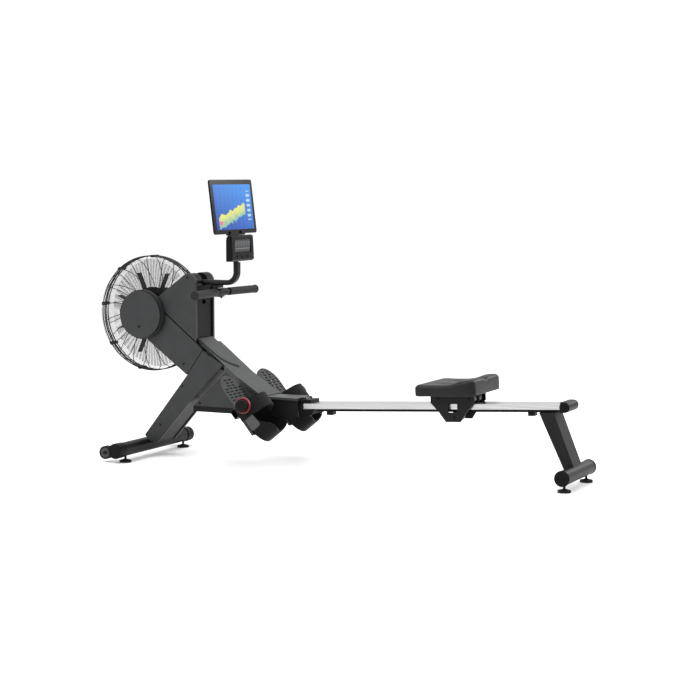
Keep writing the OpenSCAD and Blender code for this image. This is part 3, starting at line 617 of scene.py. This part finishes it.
def run_tree(name, tree, values):
    """The plain mesh that a node tree makes from an empty object, with inputs set by identifier."""
    holder = bpy.data.objects.new(name, bpy.data.meshes.new(name))
    bpy.context.scene.collection.objects.link(holder)
    nodes_mod = holder.modifiers.new("nodes", "NODES")
    nodes_mod.node_group = tree
    for item in tree.interface.items_tree:
        if item.item_type == "SOCKET" and item.in_out == "INPUT" and item.name in values:
            nodes_mod[item.identifier] = values[item.name]
    return finish_mesh(holder)


bpy.context.scene.collection.objects.link(profile)
cage = run_tree("fan_cage", tree, {"Profile": profile, "Count": 18, "Wire radius": 0.0016,
                                   "Ring radius": 0.0026, "Rings": 32, "Ring step": 0.0043,
                                   "Fine radius": 0.00072, "Material": wire_coat})
bpy.data.objects.remove(profile)
half = cage.data
whole = bmesh.new()
stand = Matrix.Translation(mm(0, 0, HUB_Z)) @ Matrix.Rotation(pi / 2, 4, "X")
for sign in (1, -1):
    copy = half.copy()
    copy.transform(Matrix.Scale(sign, 4, (0, 0, 1)))
    if sign < 0:
        copy.flip_normals()
    whole.from_mesh(copy)
    bpy.data.meshes.remove(copy)
whole.transform(stand)
whole.to_mesh(half)
whole.free()
for face in half.polygons:
    face.use_smooth = True
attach(cage, "frame")
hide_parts("cage_halves")
print("cage:", len(half.polygons), "faces")

# %% [markdown]
# ## Clips and screws
# The two halves of the cage are held by small black clips over the rim. The shells are held by screws in
# shallow seats. Both are copies of a small shape, so one tree puts them on points, each turned to face
# outwards.

# %% Place copies on points


def scatter_tree():
    """Copies of one shape on the points of a mesh, each point carrying its own turn."""
    tree, given, end = new_tree("copies_on_points", (("Places", "Object"), ("Shape", "Object"),
                                                     ("Material", "Material")))
    places = add(tree, "GeometryNodeObjectInfo", {"Object": given["Places"]})
    shape = add(tree, "GeometryNodeObjectInfo", {"Object": given["Shape"]})
    turn = add(tree, "GeometryNodeInputNamedAttribute", {"Name": "turn"}, data_type="FLOAT_VECTOR")
    copies = add(tree, "GeometryNodeInstanceOnPoints", {"Points": places.outputs["Geometry"],
                                                        "Instance": shape.outputs["Geometry"],
                                                        "Rotation": turn.outputs["Attribute"]})
    loose = add(tree, "GeometryNodeRealizeInstances", {"Geometry": copies.outputs["Instances"]})
    coat = add(tree, "GeometryNodeSetMaterial", {"Geometry": loose.outputs[0], "Material": given["Material"]})
    tree.links.new(coat.outputs[0], end.inputs["Geometry"])
    return tree


copies_tree = scatter_tree()


def copies(name, shape_mesh, places, turns, material, body, slot):
    """One piece made of copies of a shape, each at its place with its turn."""
    dots = bpy.data.meshes.new(name + "_places")
    dots.from_pydata([tuple(p) for p in places], [], [])
    turn = dots.attributes.new("turn", "FLOAT_VECTOR", "POINT")
    for i, value in enumerate(turns):
        turn.data[i].vector = value
    helpers = [bpy.data.objects.new(name + "_places", dots), bpy.data.objects.new(name + "_shape", shape_mesh)]
    for helper in helpers:
        bpy.context.scene.collection.objects.link(helper)
    made = run_tree(name, copies_tree, {"Places": helpers[0], "Shape": helpers[1], "Material": material})
    for helper in helpers:
        bpy.data.objects.remove(helper)
    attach(made, body)
    return made


def small_box(dx, dy, dz, bevel):
    """A box about its own centre, in mm, with rounded edges."""
    tool = bmesh.new()
    bmesh.ops.create_cube(tool, size=1.0)
    bmesh.ops.scale(tool, vec=(dx / 1000, dy / 1000, dz / 1000), verts=tool.verts)
    bmesh.ops.bevel(tool, geom=tool.edges, offset=bevel / 1000, segments=2, affect="EDGES", profile=0.5)
    mesh = bpy.data.meshes.new("small_box")
    tool.to_mesh(mesh)
    tool.free()
    return mesh


clip_angles = [radians(88 + 42 * i) for i in range(5)]
copies("cage_clips", small_box(14, 54, 11, 2.5),
       [mm(CAGE_R * cos(a), 0, HUB_Z + (CAGE_R - 1) * sin(a)) for a in clip_angles],
       [(0, pi / 2 - a, 0) for a in clip_angles], trim_abs, "frame", "trim_black")
print(len(clip_angles), "clips")

# %% Screw heads
HEAD_SIDES = 18   # flats around a screw head


def screw_head(radius, height):
    """A low domed head with a round socket, its foot at the origin and its top along +Z."""
    tool = bmesh.new()
    rings = [(radius, 0), (radius, height * 0.55), (radius * 0.85, height * 0.9), (radius * 0.55, height)]
    angles = [2 * pi * k / HEAD_SIDES for k in range(HEAD_SIDES)]
    loops = [[tool.verts.new((r / 1000 * cos(a), r / 1000 * sin(a), z / 1000)) for a in angles]
             for r, z in rings]
    loops.append([tool.verts.new((v.co.x, v.co.y, v.co.z - height * 0.5 / 1000)) for v in loops[-1]])
    for low, high in zip(loops, loops[1:]):
        for k in range(HEAD_SIDES):
            m = (k + 1) % HEAD_SIDES
            tool.faces.new((low[k], low[m], high[m], high[k]))
    tool.faces.new(loops[-1])
    tool.faces.new(list(reversed(loops[0])))
    mesh = bpy.data.meshes.new("screw_head")
    tool.to_mesh(mesh)
    tool.free()
    return mesh


# The screws on one side of the machine: X, Z and the distance from its middle, in mm.
screw_spots = [(198, 418, 79.1), (190, 321, 79.1), (321, 462, 79.1), (77, 147, 79.1), (219, 790, 79.1),
               (271, 250, 70.1), (-3, 574, 114.1)]
spots, turns = [], []
for x, z, y in screw_spots:
    for sign in (1, -1):
        spots.append(mm(x, sign * y, z))
        turns.append((-sign * pi / 2, 0, 0))
screws = copies("shell_screws", screw_head(5.5, 2.6), spots, turns, oxide, "frame", "screw_black")
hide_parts("cover_screws")
print(len(spots), "screws")

# %% [markdown]
# ## Strap knobs
# Each foot strap is tightened by a knob on the outer side of its footrest: a red ring with a black grip
# on it. The grip is ribbed for the fingers. The ribs are the same small block placed around a circle.

# %% Knob grips
FOOT = (448, 388, radians(51))   # toe end of a footplate in X and Z, and its pitch
FOOT_Y, FOOT_HALF = 164, 80      # mm from the machine's middle to a footplate's middle, and half its width
KNOB_GAP = 3.8                   # mm from a footplate's side to the plane its knob is measured from
KNURLS = 18                      # ribs around a knob's grip


def on_foot(side, s, y, n):
    """A point on a footplate: s down to the heel, y across from its middle, n off its face, in mm."""
    x, z, pitch = FOOT
    return mm(x + s * cos(pitch) + n * sin(pitch), side * FOOT_Y + y, z - s * sin(pitch) + n * cos(pitch))


knob_x, knob_z = (on_foot(1, 172, 0, 38)[i] * 1000 for i in (0, 2))
knob_x += MID_X
for side, word in ((-1, "left"), (1, "right")):
    face = side * (FOOT_Y + FOOT_HALF + KNOB_GAP)
    rings = [(face + side * 9.3, 18), (face + side * 9.3, 27.6), (face + side * 24, 26.6),
             (face + side * 27.5, 23.5), (face + side * 28, 10), (face + side * 26.6, 8)]
    cap = turned("knob_cap_" + word, knob_x, knob_z, rings, trim_abs, "knob_" + word)
    angles = [2 * pi * i / KNURLS for i in range(KNURLS)]
    copies("knob_ribs_" + word, small_box(3.2, 14, 3.0, 0.9),
           [mm(knob_x + 27.4 * cos(a), face + side * 17, knob_z + 27.4 * sin(a)) for a in angles],
           [(0, -a, 0) for a in angles], trim_abs, "knob_" + word, "trim_black")
print("knobs at", round(knob_x), round(knob_z))

# %% [markdown]
# ## Painted highlight on the heel cups
# A heel cup is black. The flat part of each outer side wall catches the lamps, and that light is painted as a
# thin, rounded, dark grey plate that slides with its cup.

# %% Painted highlight on the heel cups' outer sides
LIT_SIDE_Y = (76.2, 78.4)   # mm from a footplate's middle to the painted plate's inner and outer face
# The painted plate's outline: mm down the footplate, and mm off its face.
outline = [(198, -1), (272, -1), (279, 6), (279, 44), (272, 50), (214, 43), (198, 40)]
# A lighter plate on the flat outer side wall: a painted highlight where that side catches the lamps.
for side, word in ((-1, "left"), (1, "right")):
    points = [on_foot(side, s, side * y, n) for y in LIT_SIDE_Y for s, n in outline]
    lit_side_plate = piece("heel_panel_" + word, points, tube_faces(2, len(outline)), grey_abs_and_painted_highlight, "heel_" + word,
                  smooth=False)
    bevelled(lit_side_plate, 0.8)
print("two panels")

# %% [markdown]
# ## Transport wheels
# The tyres come from the engineering model. Each wheel has a grey moulded hub with a raised boss, turned
# like a small lid, and it rolls with its tyre.

# %% Wheel hubs
WHEEL_X, WHEEL_Z = -75.5, 42
HUB_Y = 302 - 21.8   # mm from the machine's middle to a hub's face, its half width less 21.8
for side, word in ((-1, "left"), (1, "right")):
    outer = side * HUB_Y
    rings = [(outer, 8.6), (outer, 20.5), (outer + side * 1.4, 20.5), (outer + side * 1.9, 16),
             (outer + side * 1.0, 11), (outer + side * 1.0, 9.0)]
    hub = turned("wheel_hub_" + word, WHEEL_X, WHEEL_Z, rings, grey_abs_and_painted_highlight, "wheel_" + word)
print("two hubs")

# %% [markdown]
# ## The seat
# A rowing seat is one block of moulded foam with a tough skin. Its top is dished for the sit bones, it has
# a slot of relief down the middle at the rear, two raised lobes behind, and its front edge rolls down.
# It could be simulated as a cushion, but foam with a moulded skin keeps the shape of its mould, so the
# block is built as a fine grid and its top is shaped by smooth functions, as the mould maker would.

# %% Shape of the seat
SLOPE = radians(3.05)
RAIL = (752, 272)   # origin of the rail's axes in X and Z, on its top face
SEAT_S = 691        # the carriage's place along the rail in mm
SKIRT = 8.8         # mm that the seat's edge hangs below its underside
SHRINK = 0.985      # the top and the underside against the seat's widest outline


def on_rail(s, y, n):
    """A point in the rail's own axes: s along it, y across, n off its top face, in mm."""
    return mm(RAIL[0] + s * cos(SLOPE) - n * sin(SLOPE), y, RAIL[1] + s * sin(SLOPE) + n * cos(SLOPE))


def bell(x, centre, width):
    """A smooth hump of height one."""
    return exp(-((x - centre) / width) ** 2)


def step_up(x, centre, width):
    """A smooth step from zero to one."""
    return 1 / (1 + exp(-(x - centre) / width))


def seat_top(s, y):
    """Height of the seat's top over its underside in mm, s from -131 at the front to 131 at the rear."""
    rise = 36 + 18 * step_up(s, 50, 14)
    lobes = 4.5 * bell(s, 102, 30) * (bell(y, 86, 46) + bell(y, -86, 46))
    dish = -8 * bell(s, 0, 62) * (bell(y, 62, 42) + bell(y, -62, 42))
    relief = -7 * bell(y, 0, 16) * step_up(s, 10, 18)
    roll = 2 * bell(s, -112, 24)
    return rise + lobes + dish + relief + roll


def seat_block():
    """Points and faces of the seat in mm: a grid below, a grid above, and a wall of three rows between."""
    half_l, half_w, corner, step = 131.0, 157.0, 34.0, 6.0
    columns, rows = int(2 * half_l / step) + 1, int(2 * half_w / step) + 1
    points, faces = [], []

    def plan(i, j):
        """Carries a square grid onto a rounded plan."""
        a, b = 2 * i / (columns - 1) - 1, 2 * j / (rows - 1) - 1
        x, y = a * half_l, b * half_w
        cx, cy = abs(x) - (half_l - corner), abs(y) - (half_w - corner)
        if cx > 0 and cy > 0:
            reach, flat = max(cx, cy), (cx * cx + cy * cy) ** 0.5
            x = (1 if x > 0 else -1) * (half_l - corner + cx * reach / flat)
            y = (1 if y > 0 else -1) * (half_w - corner + cy * reach / flat)
        waist = 1 - 0.05 * bell(x, -30, 50)
        return x, y * waist, max(abs(a), abs(b))

    for on_top in (False, True):
        for i in range(columns):
            for j in range(rows):
                x, y, edge = plan(i, j)
                if on_top:
                    z = seat_top(x, y) - 7 * max(0.0, (edge - 0.90) / 0.10) ** 2
                else:
                    z = -SKIRT * min(1.0, max(0.0, (edge - 0.84) / 0.08))
                points.append((x * SHRINK, y * SHRINK, z))
    size = columns * rows
    for i in range(columns - 1):
        for j in range(rows - 1):
            a = i * rows + j
            faces.append((a, a + 1, a + rows + 1, a + rows))
            faces.append((size + a, size + a + rows, size + a + rows + 1, size + a + 1))
    border = ([(0, j) for j in range(rows)] + [(i, rows - 1) for i in range(1, columns)]
              + [(columns - 1, j) for j in range(rows - 2, -1, -1)]
              + [(i, 0) for i in range(columns - 2, 0, -1)])
    middle = len(points)
    for share, out in ((0.06, 0.998), (0.5, 1.0), (0.86, 1.0)):
        for i, j in border:
            x, y, edge = plan(i, j)
            points.append((x * out, y * out, -SKIRT + (seat_top(x, y) + 3.0) * share))
    count = len(border)
    for k in range(count):
        m = (k + 1) % count
        a, b = border[k][0] * rows + border[k][1], border[m][0] * rows + border[m][1]
        faces.append((a, middle + k, middle + m, b))
        for low in (middle, middle + count):
            faces.append((low + k, low + count + k, low + count + m, low + m))
        faces.append((middle + 2 * count + k, size + a, size + b, middle + 2 * count + m))
    return points, faces


shape, faces = seat_block()
seat = piece("seat_cushion", [on_rail(SEAT_S - 1 + s, y, 49.8 + n) for s, y, n in shape], faces,
             seat_skin, "seat")
soft = seat.modifiers.new("soft", "SUBSURF")
soft.levels = soft.render_levels = 1
finish_mesh(seat)
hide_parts("seat_pad")
print("seat:", len(seat.data.polygons), "faces")

# %% [markdown]
# ## The pull strap
# The handle hangs on a band that comes up from the spool, turns over a roller inside the upright and leaves
# through a slot. When the handle is pulled the band grows longer. Here the band is drawn at rest, straight
# from the roller to the handle's clamp, and it rides on no body.

# %% Band from the spool to the handle
guide_x, guide_z, guide_r = 206, 650, 15.1   # the roller's axle, and the radius of the band's turn
path = [mm(guide_x - guide_r, 0, z) for z in (475, 520, 565, 610)]
path += [mm(guide_x + guide_r * cos(radians(a)), 0, guide_z + guide_r * sin(radians(a)))
         for a in range(180, 112, -8)]
top = path[-1]
clamp_point = mm(319, 0, 727)
path += [top.lerp(clamp_point, i / 14) for i in range(1, 15)]
points, faces = sweep(path, [(-11, -0.8), (11, -0.8), (11, 0.8), (-11, 0.8)], (0, 1, 0))
strap = piece("pull_band", points, faces, webbing, None, smooth=False)
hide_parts("pull_strap")
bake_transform(strap)
print(len(path), "stations on the band")

# %% [markdown]
# ## Screens
# The large display stands on the console. Its picture is a rounded sheet just in front of the glass, with a
# UV map for the drawing. The console below has a grey liquid crystal window made in the same way.

# %% Sheets with a UV map


def sheet_with_uv(name, corner, right, up, width, height, material, body, radius=4.0):
    """A thin rounded sheet from its lower left corner, in mm, with UV running 0 to 1 over it."""
    outline = []
    for cx, cy, first in ((width - radius, radius, -90), (width - radius, height - radius, 0),
                          (radius, height - radius, 90), (radius, radius, 180)):
        outline += [(cx + radius * cos(radians(first + 15 * k)), cy + radius * sin(radians(first + 15 * k)))
                    for k in range(7)]
    outward = right.cross(up).normalized()
    points = [corner + right * a / 1000 + up * b / 1000 + outward * d / 1000
              for d in (0, 0.5) for a, b in outline]
    made = piece(name, points, tube_faces(2, len(outline)), material, body, smooth=False)
    layer_uv = made.data.uv_layers.new(name="UVMap")
    for loop in made.data.loops:
        offset = made.data.vertices[loop.vertex_index].co - corner
        layer_uv.data[loop.index].uv = (offset.dot(right) * 1000 / width, offset.dot(up) * 1000 / height)
    return made


tilt = radians(7)
up = Vector((-sin(tilt), 0, cos(tilt)))
right = Vector((0, 1, 0))
# The picture starts 18 mm above the display's lower edge and lies 0.3 mm in front of its glass.
corner = mm(418, -160, 978) + up * 0.018 + right.cross(up).normalized() * 0.0003
sheet_with_uv("display_picture", corner, right, up, 320, 192, picture, "console")
sheet_with_uv("console_crystal", mm(446.2, -66, 903), right, Vector((0, 0, 1)), 132, 50, crystal,
              "console", 3.0)
print("two screens")

# %% [markdown]
# ## Groove in the spine
# A curved groove runs from the foot of the upright down one side of the spine cover and turns in across
# it. The groove isn't cut; its shade is painted as a thin black strip that follows the cover's surface.

# %% Painted shade of the groove along the spine


def spine_height(x):
    """Height of the spine cover's top over the floor in mm."""
    corners = [(262, 529), (326, 480), (451, 381), (583, 297)]
    for (x0, z0), (x1, z1) in zip(corners, corners[1:]):
        if x <= x1:
            return z0 + (z1 - z0) * (x - x0) / (x1 - x0)
    return corners[-1][1]


# X and Y of the painted shade strip's middle line in mm.
route = [(264, -66), (290, -67), (320, -67), (345, -64), (365, -57), (380, -46),
         (392, -32), (402, -16), (410, 0), (417, 16)]
path = [mm(x, y, spine_height(x)) for x, y in route]
points, faces = sweep(path, [(-8.0, -1.5), (8.0, -1.5), (7.0, 1.4), (-7.0, 1.4)], (0, 1, 0))
# A black strip standing in for the shade inside the groove: painted shade.
groove_shade = piece("spine_inlay", points, faces, trim_abs, "frame", smooth=False)
print("inlay of", len(route), "stations")

# %% [markdown]
# ## Floor
# The floor is pale and wide enough to fill every view, with a faint mottling so that it isn't a flat colour.

# %% Floor sheet
REACH = 30   # metres from the middle of the floor to its edges
floor_paint, t, sh = new_material("matt_studio_floor", Roughness=0.85, Specular_IOR_Level=0.2)
tint(t, sh, grain(t, 900), "fbfbfb", "ffffff")
mesh = bpy.data.meshes.new("floor")
corners = [(-REACH, -REACH, 0), (REACH, -REACH, 0), (REACH, REACH, 0), (-REACH, REACH, 0)]
mesh.from_pydata(corners, [], [(0, 1, 2, 3)])
mesh.materials.append(floor_paint)
floor = bpy.data.objects.new("floor", mesh)
bpy.context.scene.collection.objects.link(floor)
bpy.context.scene.view_settings.view_transform = "Standard"
print("floor laid")

# %% [markdown]
# ## End
# The looks may not make the machine larger than the engineering model says.

# %% End
print("scene built")
